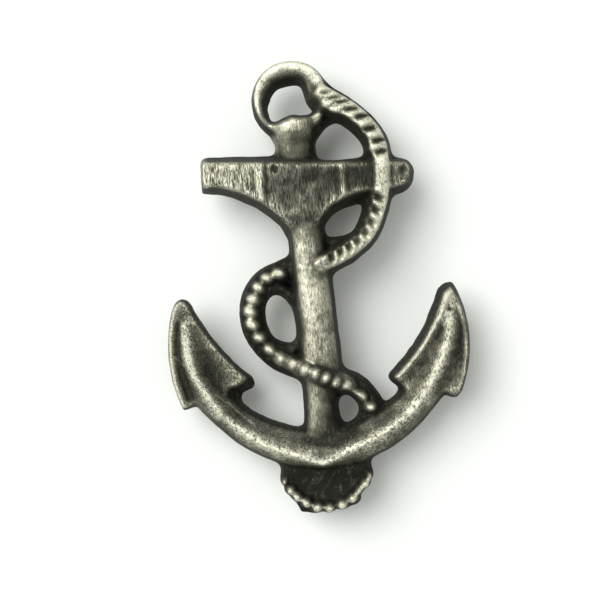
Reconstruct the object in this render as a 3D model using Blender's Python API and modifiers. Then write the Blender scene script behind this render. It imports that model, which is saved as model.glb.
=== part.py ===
"""Sew-on shank button in the form of a ship's anchor with a rope wound round it.

The face is a zinc casting, divided at the members of the anchor it copies. A wire loop for the
thread is soldered to its flat back. +Z points out of the face, +Y runs along the anchor's shank
towards its ring, and the origin lies on the flat back of the shank, midway between the loop's legs.
Every size and place below is in millimetres.
"""
import math

import bmesh
import bpy
from mathutils import Matrix, Vector

MM = 0.001

# ---- Driving dimensions --------------------------------------------------------------------------

GAP = 0.1             # clearance between neighbouring solids, small beside the 2.5 mm thickness
WELD = 0.001          # points closer than this are one point
UNDER = -1.0          # cutters reach this far behind the back
FLASH_LAND = 0.35     # straight part of a wall next to the back
WALL_DRAFT = 0.35     # how far a wall leans in between its land and its top
EDGE_ROUND = 0.15     # softened rim round a flat top

RING_CENTRE = (0.0, 11.85)
RING_MID_RADIUS = 1.9
RING_HALF_WIDTH = 0.52
RING_HEIGHT = 1.9

HEAD_CENTRE = (0.0, 9.95)
HEAD_RADII = (1.3, 1.05, 2.3)
SHANK_HALF_WIDTH = 1.22
SHANK_HEIGHT = 2.5
SHANK_ROUTE = [(-0.05, 9.9), (-0.05, 7.0), (0.08, 3.5), (0.24, 0.5), (0.27, -3.5), (0.0, -6.6), (-0.1, -9.4)]

STOCK_HEIGHT = 2.3
STOCK_LOWER_LEFT_ARC = ((-6.12, 6.68), (-2.9, 5.55), (-0.95, 3.65))
STOCK_LOWER_RIGHT_ARC = ((1.15, 3.6), (2.3, 4.75), (4.2, 5.3))
STOCK_END = [(6.6, 5.52), (7.1, 5.8), (7.42, 6.4), (7.42, 6.95), (7.15, 7.42), (6.7, 7.65)]
STOCK_TOP = [(1.2, 8.33), (-1.4, 8.62), (-5.98, 8.95)]
STOCK_LAP = 1.2       # height of the lap joint where the stock crosses the shank
STOCK_CHANNEL_ROUTE = [(-0.05, 9.9), (-0.05, 7.0), (0.08, 2.9)]
STOCK_CHANNEL_HALF_WIDTH = 1.5
STOCK_BAND_HALF_WIDTH = 0.28
STOCK_BAND_RISE = 0.22
STOCK_BANDS = [((-2.32, 8.15), (-2.42, 5.75)), ((2.8, 7.5), (2.7, 5.6))]

ROPE_HALF_WIDTH = 0.74
ROPE_BASE_HEIGHT = 1.5
ROPE_CORE_RADIUS = 0.33
UPPER_ROPE_HEIGHT = 2.75
RING_LAP = 0.9        # height of the lap joint where the upper rope leaves the ring
UPPER_ROPE_ROUTE = [
    (1.75, 12.45), (2.5, 11.75), (3.5, 11.0), (4.35, 10.15), (4.95, 9.1), (5.2, 8.0), (5.22, 6.8),
    (5.0, 5.5), (4.6, 4.35), (3.95, 3.2), (3.0, 2.4), (2.0, 1.9), (0.9, 1.5)]
LOWER_ROPE_ROUTE = [
    (-0.6, 1.6), (-1.7, 1.35), (-2.6, 1.0), (-3.3, 0.4), (-3.7, -0.4), (-3.8, -1.3), (-3.6, -2.3),
    (-3.1, -3.3), (-2.3, -4.15), (-1.2, -4.8), (0.1, -5.3), (1.2, -5.75), (2.1, -6.35), (2.75, -7.2),
    (3.0, -8.1)]
UPPER_STRAND_RADII = (0.62, 0.3, 0.5)
UPPER_STRAND_SLANT = 130.0
UPPER_STRAND_START = 0.5
UPPER_STRAND_SPACING = 0.78
UPPER_STRAND_SINK = 0.35      # of the strands' middles below the top of the rope's body
LOWER_STRAND_RADII = (0.5, 0.38, 0.55)
LOWER_STRAND_SLANT = 40.0
LOWER_STRAND_START = 1.2
LOWER_STRAND_SPACING = 0.82
CROSSING_LIFT = 1.4   # how far the lower rope's core rises to pass over the shank
CROSSING_CENTRE = 0.2
CROSSING_HALF_LENGTH = 2.1
CROSSING_TOP_Y = -2.0 # the rope lies beside the shank above this

ARMS_CREST_HEIGHT = 2.6
ARMS_SHOULDER_HEIGHT = 1.35
ARMS_INNER_ARC = ((-5.42, -6.1), (-0.1, -8.65), (5.05, -6.75))
ARMS_OUTER_ARCS = (
    ((-7.75, -6.45), (-5.3, -9.2), (-0.2, -11.25)),
    ((-0.2, -11.25), (4.75, -9.95), (7.55, -7.35)))
ARMS_CREST_ARCS = (
    ((-6.9, -6.4), (-4.35, -8.95), (-0.25, -10.72)),
    ((-0.25, -10.72), (3.8, -9.25), (6.5, -7.05)))

FLUKE_HEIGHT = 1.75
FLUKE_DRAFT = 0.25
FLUKE_RIB_HEIGHT = 2.5
FLUKE_RIM_HEIGHT = 2.1
FLUKE_RIB_HALF_WIDTH = 0.55
FLUKE_RIM_HALF_WIDTH = 0.22
FLUKE_OVERLAP = 0.5   # how deep a rib or rim is sunk in the palm
LEFT_FLUKE_OUTER_ARC = ((-8.62, -6.66), (-9.3, -3.3), (-8.62, -0.1))
LEFT_FLUKE_TIP = (-8.1, 0.38)
LEFT_FLUKE_INNER_ARC = ((-7.5, -0.2), (-6.15, -2.8), (-4.1, -5.35))
LEFT_FLUKE_FOOT = [(-5.15, -6.0), (-7.8, -6.35)]
LEFT_RIB_ARC = ((-8.1, -1.5), (-7.85, -4.1), (-6.95, -6.0))
LEFT_RIM_ARC = ((-8.3, -0.4), (-8.85, -3.3), (-8.4, -5.9))
RIGHT_FLUKE_OUTER_ARC = ((8.6, -7.62), (9.68, -4.1), (8.9, -0.35))
RIGHT_FLUKE_TIP = (8.0, -0.75)
RIGHT_FLUKE_INNER_ARC = ((7.75, -1.2), (6.6, -3.35), (4.3, -5.9))
RIGHT_FLUKE_FOOT = [(4.85, -6.6), (7.6, -7.25)]
RIGHT_RIB_ARC = ((8.55, -1.6), (8.1, -4.4), (6.5, -6.75))
RIGHT_RIM_ARC = ((8.35, -1.4), (6.95, -3.75), (4.85, -5.9))

CROWN_PLATE_HEIGHT = 0.9
CROWN_PLATE_DRAFT = 0.08
CROWN_PLATE_ANGLES = (170.0, 370.0)
CROWN_PLATE_TOP_EDGE = [(1.6, -10.4), (-2.0, -10.4)]
CROWN_CENTRE = (-0.2, -11.1)
CROWN_RADII = (2.45, 2.3)
CROWN_MARGIN = 0.33   # how far the plate stands out past the middle of its bead row
CROWN_BEADS = 11
CROWN_START_ANGLE = 187.0
CROWN_END_ANGLE = 346.0
CROWN_BEAD_RADII = (0.36, 0.29, 0.5)
CROWN_BEAD_SLANT = 50.0
CROWN_BEAD_RISE = 0.35        # of the beads' middles above the plate
CROWN_CORD_RADIUS = 0.27
GATE_HEIGHT = 0.45
GATE_DRAFT = 0.05
GATE_OUTLINE = [
    (-2.2, -12.6), (-2.15, -13.3), (-1.95, -13.78), (-1.2, -13.85), (1.5, -13.6), (1.78, -13.4),
    (1.75, -12.6)]

LOOP_CENTRE_X = 0.25
LOOP_WIRE_RADIUS = 0.5
LOOP_RADIUS = 1.45    # of the wire's middle line
LOOP_LEG = 0.25       # straight length of each leg
SOLDER_BASE_RADIUS = 1.0
SOLDER_HEIGHT = 0.4
SOLDER_RIM = 0.05     # thickness of the solder at its lower end

SILVER = (0.50, 0.49, 0.44)
DARK_SILVER = (0.16, 0.155, 0.14)
WIRE = (0.46, 0.45, 0.41)
SOLDER = (0.58, 0.58, 0.56)


# ---- Scene and helpers ---------------------------------------------------------------------------

def clear_scene():
    """Remove every object that the file starts with."""
    for old in list(bpy.data.objects):
        bpy.data.objects.remove(old, do_unlink=True)


def new_collection(name):
    """Make a collection in the scene."""
    collection = bpy.data.collections.new(name)
    bpy.context.scene.collection.children.link(collection)
    return collection


def finish_material(name, colour, roughness):
    """Make a metal material."""
    material = bpy.data.materials.new(name)
    material.use_nodes = True
    shader = material.node_tree.nodes["Principled BSDF"]
    shader.inputs["Base Color"].default_value = (*colour, 1.0)
    shader.inputs["Roughness"].default_value = roughness
    shader.inputs["Metallic"].default_value = 1.0
    return material


def arc(start, via, end, count):
    """Points on the circular arc from start to end that passes through via."""
    ax, ay = start
    bx, by = via
    cx, cy = end
    det = 2.0 * (ax * (by - cy) + bx * (cy - ay) + cx * (ay - by))
    a2, b2, c2 = ax * ax + ay * ay, bx * bx + by * by, cx * cx + cy * cy
    ox = (a2 * (by - cy) + b2 * (cy - ay) + c2 * (ay - by)) / det
    oy = (a2 * (cx - bx) + b2 * (ax - cx) + c2 * (bx - ax)) / det
    radius = math.hypot(ax - ox, ay - oy)
    first = math.atan2(ay - oy, ax - ox)
    turn_via = (math.atan2(by - oy, bx - ox) - first) % math.tau
    turn_end = (math.atan2(cy - oy, cx - ox) - first) % math.tau
    if turn_via > turn_end:
        turn_end -= math.tau
    angles = [first + turn_end * i / count for i in range(count + 1)]
    return [(ox + radius * math.cos(a), oy + radius * math.sin(a)) for a in angles]


def smooth(points, parts):
    """A smooth curve through the points (Catmull-Rom), each span divided into parts."""
    knots = [Vector(p) for p in points]
    knots = [2 * knots[0] - knots[1]] + knots + [2 * knots[-1] - knots[-2]]
    out = []
    for i in range(1, len(knots) - 2):
        a, b, c, d = knots[i - 1:i + 3]
        for j in range(parts):
            t = j / parts
            spot = 2 * b + (c - a) * t + (2 * a - 5 * b + 4 * c - d) * t ** 2
            spot += (3 * b - a - 3 * c + d) * t ** 3
            out.append(tuple(spot / 2))
    out.append(tuple(knots[-2]))
    return out


def grown(outline, amount):
    """The closed outline moved outwards by amount; its points run anticlockwise."""
    out = []
    count = len(outline)
    for i, point in enumerate(outline):
        back = (Vector(point) - Vector(outline[i - 1])).normalized()
        ahead = (Vector(outline[(i + 1) % count]) - Vector(point)).normalized()
        normal = Vector((back.y + ahead.y, -back.x - ahead.x)).normalized()
        stretch = max(0.5, normal.dot(Vector((ahead.y, -ahead.x))))
        out.append(tuple(Vector(point) + normal * amount / stretch))
    return out


def mesh_object(name, bm, collection):
    """Turn a bmesh in millimetres into a named object in metres with outward faces."""
    bmesh.ops.remove_doubles(bm, verts=bm.verts, dist=WELD)
    bmesh.ops.recalc_face_normals(bm, faces=bm.faces)
    bmesh.ops.scale(bm, vec=(MM, MM, MM), verts=bm.verts)
    mesh = bpy.data.meshes.new(name)
    bm.to_mesh(mesh)
    bm.free()
    item = bpy.data.objects.new(name, mesh)
    collection.objects.link(item)
    if collection is TOOLS:
        item.hide_render = True
        item.display_type = "WIRE"
    return item


def plate(name, outline, height, collection, base=0.0, draft=WALL_DRAFT):
    """A plate with drafted walls and a softened rim; its outline is the widest, at the back."""
    bm = bmesh.new()
    back = bm.faces.new([bm.verts.new((x, y, base)) for x, y in outline])
    land = bmesh.ops.extrude_face_region(bm, geom=[back], use_keep_orig=True)["geom"]
    tops = [part for part in land if isinstance(part, bmesh.types.BMFace)]
    straight = max(base, 0.0) + FLASH_LAND - base
    raised = [part for part in land if isinstance(part, bmesh.types.BMVert)]
    bmesh.ops.translate(bm, vec=(0, 0, straight), verts=raised)
    bm.normal_update()
    for face in tops:
        if face.normal.z < 0:
            face.normal_flip()
    rise = height - straight - base - EDGE_ROUND
    bmesh.ops.inset_region(bm, faces=tops, thickness=draft, depth=rise, use_even_offset=True)
    bmesh.ops.inset_region(bm, faces=tops, thickness=EDGE_ROUND, depth=EDGE_ROUND, use_even_offset=True)
    return mesh_object(name, bm, collection)


def dome_profile(half_width, height, base=0.0, steps=8):
    """Cross-section of a half-round bar: a flat back with a half ellipse over it."""
    turns = [math.pi * i / steps for i in range(steps + 1)]
    profile = [(half_width * math.cos(a), height * math.sin(a)) for a in turns]
    if base < 0.0:
        profile = [(half_width, base)] + profile + [(-half_width, base)]
    return profile


def poly_curve(name, points, cyclic):
    """A straight-segment curve through the points."""
    curve = bpy.data.curves.new(name, "CURVE")
    curve.dimensions = "3D"
    spline = curve.splines.new("POLY")
    spline.points.add(len(points) - 1)
    for knot, point in zip(spline.points, points):
        x, y, z = (*point, 0.0)[:3]
        knot.co = (x * MM, y * MM, z * MM, 1.0)
    spline.use_cyclic_u = cyclic
    return curve


def curve_to_mesh(curve, name, collection):
    """Make the curve's tube a closed mesh object, its end caps welded on."""
    item = bpy.data.objects.new(name, curve)
    bpy.context.scene.collection.objects.link(item)
    bpy.context.view_layer.update()
    depsgraph = bpy.context.evaluated_depsgraph_get()
    mesh = bpy.data.meshes.new_from_object(item.evaluated_get(depsgraph))
    place = item.matrix_world.copy()
    bpy.data.objects.remove(item, do_unlink=True)
    bm = bmesh.new()
    bm.from_mesh(mesh)
    bpy.data.meshes.remove(mesh)
    bmesh.ops.scale(bm, vec=(1 / MM, 1 / MM, 1 / MM), verts=bm.verts)
    solid = mesh_object(name, bm, collection)
    solid.matrix_world = place
    return solid


def bar(name, route, profile, collection):
    """A solid bar of the given cross-section along a route."""
    section = bpy.data.objects.new(name + "_section", poly_curve(name + "_section", profile, True))
    bpy.context.scene.collection.objects.link(section)
    curve = poly_curve(name, route, False)
    curve.twist_mode = "Z_UP"
    curve.bevel_mode = "OBJECT"
    curve.bevel_object = section
    curve.use_fill_caps = True
    solid = curve_to_mesh(curve, name, collection)
    bpy.data.objects.remove(section, do_unlink=True)
    return solid


def tube(name, route, radius, collection):
    """A round wire along a route."""
    curve = poly_curve(name, route, False)
    curve.bevel_depth = radius * MM
    curve.bevel_resolution = 2
    curve.use_fill_caps = True
    return curve_to_mesh(curve, name, collection)


def bead(name, centre, radii, turn, collection):
    """An ellipsoid, turned about Z by an angle in degrees."""
    bm = bmesh.new()
    turned = Matrix.Translation(centre) @ Matrix.Rotation(math.radians(turn), 4, "Z")
    place = turned @ Matrix.Diagonal((*radii, 1.0))
    bmesh.ops.create_uvsphere(bm, u_segments=10, v_segments=6, radius=1.0, matrix=place)
    return mesh_object(name, bm, collection)


def combine(target, others, operation):
    """Add one exact Boolean modifier that takes all the other objects at once."""
    group = bpy.data.collections.new("%s_%s" % (target.name, operation.lower()))
    bpy.data.collections[TOOLS.name].children.link(group)
    for other in others:
        group.objects.link(other)
    modifier = target.modifiers.new(operation.lower(), "BOOLEAN")
    modifier.operation = operation
    modifier.solver = "EXACT"
    modifier.operand_type = "COLLECTION"
    modifier.collection = group


def cut(target, *cutters):
    """Take the cutters away from the target."""
    combine(target, cutters, "DIFFERENCE")


def join(target, *others):
    """Fuse the others with the target into one body."""
    combine(target, others, "UNION")


def paint(item, material):
    """Give the object its only material."""
    item.data.materials.clear()
    item.data.materials.append(material)


# ---- Shapes that are both parts and, grown by the gap, cutters -------------------------------------

def stock_outline():
    """Outline of the cross bar, anticlockwise from its lower left corner."""
    lower_edge = arc(*STOCK_LOWER_LEFT_ARC, 8) + arc(*STOCK_LOWER_RIGHT_ARC, 6)
    return lower_edge + STOCK_END + STOCK_TOP


def shank_solid(name, gap, collection, base=0.0):
    """The upright half-round bar."""
    profile = dome_profile(SHANK_HALF_WIDTH + gap, SHANK_HEIGHT + gap, base)
    return bar(name, smooth(SHANK_ROUTE, 3), profile, collection)


def head_solid(name, gap, collection):
    """The rounded head of the shank."""
    radii = [radius + gap for radius in HEAD_RADII]
    return bead(name, (*HEAD_CENTRE, 0.0), radii, 0.0, collection)


def ring_solid(name, gap, collection):
    """The ring before its flat back is cut."""
    bpy.ops.mesh.primitive_torus_add(
        major_radius=RING_MID_RADIUS, minor_radius=1.0, major_segments=40, minor_segments=12)
    made = bpy.context.object
    bm = bmesh.new()
    bm.from_mesh(made.data)
    bpy.data.objects.remove(made, do_unlink=True)
    for vert in bm.verts:
        radial = Vector((vert.co.x, vert.co.y, 0.0))
        out = radial.normalized()
        offset = radial.length - RING_MID_RADIUS
        spot = out * (RING_MID_RADIUS + offset * (RING_HALF_WIDTH + gap))
        spot.z = vert.co.z * (RING_HEIGHT + gap)
        vert.co = spot + Vector((*RING_CENTRE, 0.0))
    return mesh_object(name, bm, collection)


def upper_rope_solid(name, gap, collection, base=0.0):
    """The upper rope's plain half-round body."""
    profile = dome_profile(ROPE_HALF_WIDTH + gap, UPPER_ROPE_HEIGHT + gap, base)
    return bar(name, smooth(UPPER_ROPE_ROUTE, 3), profile, collection)


def arms_solid(name, gap, collection, base=0.0):
    """The two curved arms: a loft from fluke to fluke whose section changes all the way."""
    count = 12
    inner = arc(*ARMS_INNER_ARC, 2 * count)
    outer = arc(*ARMS_OUTER_ARCS[0], count) + arc(*ARMS_OUTER_ARCS[1], count)[1:]
    crest = arc(*ARMS_CREST_ARCS[0], count) + arc(*ARMS_CREST_ARCS[1], count)[1:]
    bm = bmesh.new()
    sections = []
    for near, top, far in zip(inner, crest, outer):
        near, top, far = Vector(near), Vector(top), Vector(far)
        across = (far - near).normalized()
        near_foot = near - across * gap
        far_foot = far + across * gap
        near_edge = near_foot + across * WALL_DRAFT
        far_edge = far_foot - across * WALL_DRAFT / 2
        corners = [
            (*near_foot, base), (*near_foot, FLASH_LAND), (*near_edge, ARMS_SHOULDER_HEIGHT + gap),
            (*top, ARMS_CREST_HEIGHT + gap), (*far_edge, ARMS_SHOULDER_HEIGHT + gap),
            (*far_foot, FLASH_LAND), (*far_foot, base)]
        sections.append([bm.verts.new(corner) for corner in corners])
    for one, two in zip(sections, sections[1:]):
        for i in range(len(one)):
            j = (i + 1) % len(one)
            bm.faces.new((one[i], one[j], two[j], two[i]))
    bm.faces.new(sections[0])
    bm.faces.new(list(reversed(sections[-1])))
    return mesh_object(name, bm, collection)


def crown_point(angle, margin=0.0):
    """A point on the crown's ellipse, at an angle in degrees."""
    turn = math.radians(angle)
    x = CROWN_CENTRE[0] + (CROWN_RADII[0] + margin) * math.cos(turn)
    y = CROWN_CENTRE[1] + (CROWN_RADII[1] + margin) * math.sin(turn)
    return x, y


def crown_solid(name, gap, collection, base=0.0):
    """The recessed plate below the arms."""
    first, last = CROWN_PLATE_ANGLES
    angles = [first + (last - first) * i / 20 for i in range(21)]
    outline = [crown_point(angle, CROWN_MARGIN) for angle in angles] + CROWN_PLATE_TOP_EDGE
    height = CROWN_PLATE_HEIGHT + gap
    return plate(name, grown(outline, gap), height, collection, base, CROWN_PLATE_DRAFT)


# ---- Parts ---------------------------------------------------------------------------------------

def build_shank():
    """Shank with its head; lowered where the stock laps over it, butted against the arms."""
    shank = shank_solid("anchor_shank", 0.0, PARTS, UNDER)
    join(shank, head_solid("shank_head", 0.0, TOOLS))
    above = STOCK_HEIGHT + 2.0
    lap = plate("stock_lap_cutter", grown(stock_outline(), GAP), above, TOOLS, STOCK_LAP, 0.0)
    cut(shank, BACK_CUTTER, lap, arms_solid("arms_from_shank_cutter", GAP, TOOLS, UNDER))
    paint(shank, SILVER_FINISH)


def build_ring():
    """Ring, butted against the head at its foot and half-lapped with the upper rope."""
    ring = ring_solid("shackle_ring", 0.0, PARTS)
    shank = shank_solid("shank_from_ring_cutter", GAP, TOOLS, UNDER)
    head = head_solid("head_from_ring_cutter", GAP, TOOLS)
    rope = upper_rope_solid("rope_over_ring_cutter", GAP, TOOLS, RING_LAP)
    cut(ring, BACK_CUTTER, shank, head, rope)
    paint(ring, SILVER_FINISH)


def build_stock():
    """Cross bar with two raised bands, channelled behind for the shank."""
    stock = plate("stock", stock_outline(), STOCK_HEIGHT, PARTS)
    sunk = 0.1
    profile = dome_profile(STOCK_BAND_HALF_WIDTH, STOCK_BAND_RISE + sunk, -2 * sunk, 6)
    bands = []
    for ends in STOCK_BANDS:
        route = [(*end, STOCK_HEIGHT - sunk) for end in ends]
        bands.append(bar("stock_band_%d" % len(bands), route, profile, TOOLS))
    join(stock, *bands)
    half, roof = STOCK_CHANNEL_HALF_WIDTH, STOCK_LAP + GAP
    section = [(half, UNDER), (half, roof), (-half, roof), (-half, UNDER)]
    cut(stock, bar("shank_channel_cutter", STOCK_CHANNEL_ROUTE, section, TOOLS))
    paint(stock, SILVER_FINISH)


def strands(name, route, first, spacing, radii, slant):
    """Rope strands showing as ellipsoids along a route, each turned by slant from its run."""
    made = []
    wanted = first
    walked = 0.0
    for here, there in zip(route, route[1:]):
        step = Vector(there) - Vector(here)
        while walked + step.length >= wanted:
            spot = Vector(here) + step * ((wanted - walked) / step.length)
            heading = math.degrees(math.atan2(step.y, step.x))
            made.append(bead("%s_%02d" % (name, len(made)), spot, radii, heading + slant, TOOLS))
            wanted += spacing
        walked += step.length
    return made


def build_upper_rope():
    """Rope from the ring over the stock to the shank's right side, its strands slanting."""
    rope = upper_rope_solid("upper_rope", 0.0, PARTS)
    level = UPPER_ROPE_HEIGHT - UPPER_STRAND_SINK
    route = [(x, y, level) for x, y in smooth(UPPER_ROPE_ROUTE, 4)]
    made = strands(
        "upper_strand", route, UPPER_STRAND_START, UPPER_STRAND_SPACING,
        UPPER_STRAND_RADII, UPPER_STRAND_SLANT)
    join(rope, *made)
    under = STOCK_HEIGHT + GAP
    stock = plate("stock_from_rope_cutter", grown(stock_outline(), GAP), under, TOOLS, UNDER)
    shank = shank_solid("shank_from_upper_rope_cutter", GAP, TOOLS, UNDER)
    cut(rope, stock, shank, RING_LAP_CUTTER)
    paint(rope, SILVER_FINISH)


def build_lower_rope():
    """Rope from the shank's left side, over the shank and down to the right arm."""
    flat = smooth(LOWER_ROPE_ROUTE, 3)
    rope = bar("lower_rope", flat, dome_profile(ROPE_HALF_WIDTH, ROPE_BASE_HEIGHT), PARTS)
    lifted = []
    for x, y in flat:
        beside = y > CROSSING_TOP_Y
        reach = 1.0 if beside else min(1.0, abs(x - CROSSING_CENTRE) / CROSSING_HALF_LENGTH)
        lift = CROSSING_LIFT * math.cos(reach * math.pi / 2) ** 2
        lifted.append((x, y, ROPE_BASE_HEIGHT - 0.05 + lift))
    core = tube("lower_rope_core", lifted, ROPE_CORE_RADIUS, TOOLS)
    made = strands(
        "lower_strand", lifted, LOWER_STRAND_START, LOWER_STRAND_SPACING,
        LOWER_STRAND_RADII, LOWER_STRAND_SLANT)
    join(rope, core, *made)
    arms = arms_solid("arms_from_lower_rope_cutter", GAP, TOOLS, UNDER)
    cut(rope, shank_solid("shank_from_lower_rope_cutter", GAP, TOOLS, UNDER), arms)
    paint(rope, DARK_FINISH)


def build_arms():
    """The two curved arms with the ridge along them."""
    paint(arms_solid("crown_arms", 0.0, PARTS), SILVER_FINISH)


def fluke_bar(name, route, half_width, top):
    """A raised bar along a palm, its foot sunk in it."""
    foot = FLUKE_HEIGHT - FLUKE_OVERLAP
    points = [(x, y, foot) for x, y in route]
    return bar(name, points, dome_profile(half_width, top - foot), TOOLS)


def build_fluke(name, outline, rib_arc, rim_arc):
    """A palm with its raised rib and the rim along one side."""
    fluke = plate(name, outline, FLUKE_HEIGHT, PARTS, 0.0, FLUKE_DRAFT)
    rib = fluke_bar(name + "_rib", arc(*rib_arc, 8), FLUKE_RIB_HALF_WIDTH, FLUKE_RIB_HEIGHT)
    rim = fluke_bar(name + "_rim", arc(*rim_arc, 8), FLUKE_RIM_HALF_WIDTH, FLUKE_RIM_HEIGHT)
    join(fluke, rib, rim)
    paint(fluke, SILVER_FINISH)


def build_flukes():
    """Both palms; each meets its arm end to end."""
    outline = arc(*LEFT_FLUKE_OUTER_ARC, 8) + [LEFT_FLUKE_TIP]
    outline += arc(*LEFT_FLUKE_INNER_ARC, 6) + LEFT_FLUKE_FOOT
    build_fluke("left_fluke", outline[::-1], LEFT_RIB_ARC, LEFT_RIM_ARC)
    outline = arc(*RIGHT_FLUKE_OUTER_ARC, 8) + [RIGHT_FLUKE_TIP]
    outline += arc(*RIGHT_FLUKE_INNER_ARC, 8) + RIGHT_FLUKE_FOOT
    build_fluke("right_fluke", outline, RIGHT_RIB_ARC, RIGHT_RIM_ARC)


def build_crown():
    """Recessed plate with the stub of the casting gate, and the row of rope beads round it."""
    arms = arms_solid("arms_from_crown_cutter", GAP, TOOLS, UNDER)
    base = crown_solid("crown_plate", 0.0, PARTS)
    join(base, plate("gate_stub", GATE_OUTLINE, GATE_HEIGHT, TOOLS, 0.0, GATE_DRAFT))
    cut(base, arms)
    paint(base, DARK_FINISH)
    span = CROWN_END_ANGLE - CROWN_START_ANGLE
    angles = [CROWN_START_ANGLE + span * i / 24 for i in range(25)]
    level = CROWN_PLATE_HEIGHT + CROWN_BEAD_RISE
    route = [(*crown_point(angle), level) for angle in angles]
    rope = tube("crown_rope", route, CROWN_CORD_RADIUS, PARTS)
    beads = []
    for i in range(CROWN_BEADS):
        angle = CROWN_START_ANGLE + span * i / (CROWN_BEADS - 1)
        place = (*crown_point(angle), level)
        turn = angle + CROWN_BEAD_SLANT
        beads.append(bead("crown_bead_%02d" % i, place, CROWN_BEAD_RADII, turn, TOOLS))
    join(rope, *beads)
    slab = [(-6, -16), (6, -16), (6, -9), (-6, -9)]
    level_cutter = plate("crown_level_cutter", slab, CROWN_PLATE_HEIGHT + GAP, TOOLS, UNDER, 0.0)
    cut(rope, level_cutter, arms)
    paint(rope, SILVER_FINISH)


def build_loop():
    """Wire loop for the thread, and the solder round each of its two ends."""
    foot = -GAP
    bend = foot - LOOP_LEG
    route = [(LOOP_CENTRE_X, LOOP_RADIUS, foot)]
    for i in range(17):
        turn = math.pi * i / 16
        y = LOOP_RADIUS * math.cos(turn)
        route.append((LOOP_CENTRE_X, y, bend - LOOP_RADIUS * math.sin(turn)))
    route.append((LOOP_CENTRE_X, -LOOP_RADIUS, foot))
    paint(tube("sewing_loop", route, LOOP_WIRE_RADIUS, PARTS), WIRE_FINISH)
    for name, side in (("solder_fillet_upper", 1), ("solder_fillet_lower", -1)):
        build_solder(name, (LOOP_CENTRE_X, side * LOOP_RADIUS, foot))


def build_solder(name, place):
    """A collar of solder, turned round the wire and flared against the back."""
    hole = LOOP_WIRE_RADIUS + GAP
    rim = hole + SOLDER_RIM
    flare = SOLDER_BASE_RADIUS - rim
    profile = []
    for i in range(7):
        turn = math.pi / 2 * i / 6
        profile.append((rim + flare * (1 - math.sin(turn)), -SOLDER_HEIGHT * (1 - math.cos(turn))))
    profile += [(hole, -SOLDER_HEIGHT), (hole, 0.0)]
    mesh = bpy.data.meshes.new(name)
    corners = [(x * MM, 0.0, z * MM) for x, z in profile]
    mesh.from_pydata(corners, [(i, (i + 1) % len(corners)) for i in range(len(corners))], [])
    solder = bpy.data.objects.new(name, mesh)
    solder.location = [value * MM for value in place]
    PARTS.objects.link(solder)
    turn = solder.modifiers.new("turn", "SCREW")
    turn.steps = 24
    turn.render_steps = 24
    turn.use_merge_vertices = True
    turn.merge_threshold = 0.00001
    paint(solder, SOLDER_FINISH)


def build_all():
    """Make every part."""
    build_ring()
    build_shank()
    build_stock()
    build_upper_rope()
    build_lower_rope()
    build_arms()
    build_flukes()
    build_crown()
    build_loop()


clear_scene()
PARTS = new_collection("sew_on_button")
TOOLS = new_collection("cutters")
SILVER_FINISH = finish_material("worn_silver", SILVER, 0.38)
DARK_FINISH = finish_material("dark_silver", DARK_SILVER, 0.5)
WIRE_FINISH = finish_material("loop_wire", WIRE, 0.35)
SOLDER_FINISH = finish_material("solder", SOLDER, 0.4)
BACK_SLAB = [(-15, -20), (15, -20), (15, 20), (-15, 20)]
BACK_CUTTER = plate("behind_back_cutter", BACK_SLAB, 0.0, TOOLS, -6.0, 0.0)
RING_LAP_CUTTER = plate(
    "ring_lap_cutter", [(0.0, 9.0), (2.3, 10.2), (2.75, 11.85), (2.3, 13.5), (0.0, 15.0)],
    RING_LAP + GAP, TOOLS, UNDER, 0.0)
build_all()
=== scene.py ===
import math

import bpy
import numpy as np
from mathutils import Matrix, Vector


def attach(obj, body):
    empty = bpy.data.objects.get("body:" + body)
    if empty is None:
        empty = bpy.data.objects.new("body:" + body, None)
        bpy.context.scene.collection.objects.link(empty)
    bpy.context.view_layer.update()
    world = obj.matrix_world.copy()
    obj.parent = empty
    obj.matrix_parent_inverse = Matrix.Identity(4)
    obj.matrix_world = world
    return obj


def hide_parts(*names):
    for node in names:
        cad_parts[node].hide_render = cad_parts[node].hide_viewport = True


# An anchor-shaped cast shank button on a white table, seen from straight above.
# The relief is worked out in millimetres on one lattice: each member of the anchor has a footprint
# and a top surface. The members are blended into one casting, and the casting is cut back into its
# pieces, which dip under each other where they meet.

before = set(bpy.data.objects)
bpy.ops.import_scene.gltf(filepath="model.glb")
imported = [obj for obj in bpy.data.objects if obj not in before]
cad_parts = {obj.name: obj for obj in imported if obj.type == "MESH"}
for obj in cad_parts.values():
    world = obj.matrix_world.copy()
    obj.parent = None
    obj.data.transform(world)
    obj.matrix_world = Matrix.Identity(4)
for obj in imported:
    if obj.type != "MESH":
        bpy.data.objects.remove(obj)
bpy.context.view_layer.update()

MM = 0.001
CELL = 0.06             # lattice pitch
WEST, EAST = -9.9, 10.3
SOUTH, NORTH = -14.5, 14.9

LAND = 0.35             # height of the straight foot of every wall
WEB_HEIGHT = 1.6        # of the metal that fills the corners between members
CORNER_BLEND = 0.45     # how far a corner between members is filled
THIN_HEIGHT = 1.15      # of the thin metal round the openings
LOW_GROUND = 1.2        # below this height the black was never polished off

LOOP_CENTRE_X = 0.25
LOOP_WIRE_RADIUS = 0.5
LOOP_RADIUS = 1.45
LOOP_LEG = 0.25
LOOP_GAP = 0.1          # between the casting's back and the wire's ends
SOLDER_RADIUS = 0.98
SOLDER_HEIGHT = 0.41
TABLE_Z = -(LOOP_GAP + LOOP_LEG + LOOP_RADIUS + LOOP_WIRE_RADIUS)

PHOTO_WIDTH = 37.22     # across the photograph at the height of AIM
PHOTO_TURN = math.radians(-6)
AIM = (-0.68, -0.55, 1.1)
CAMERA_DISTANCE = 75.0


# ---- Numbers on a lattice ------------------------------------------------------------------------

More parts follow.
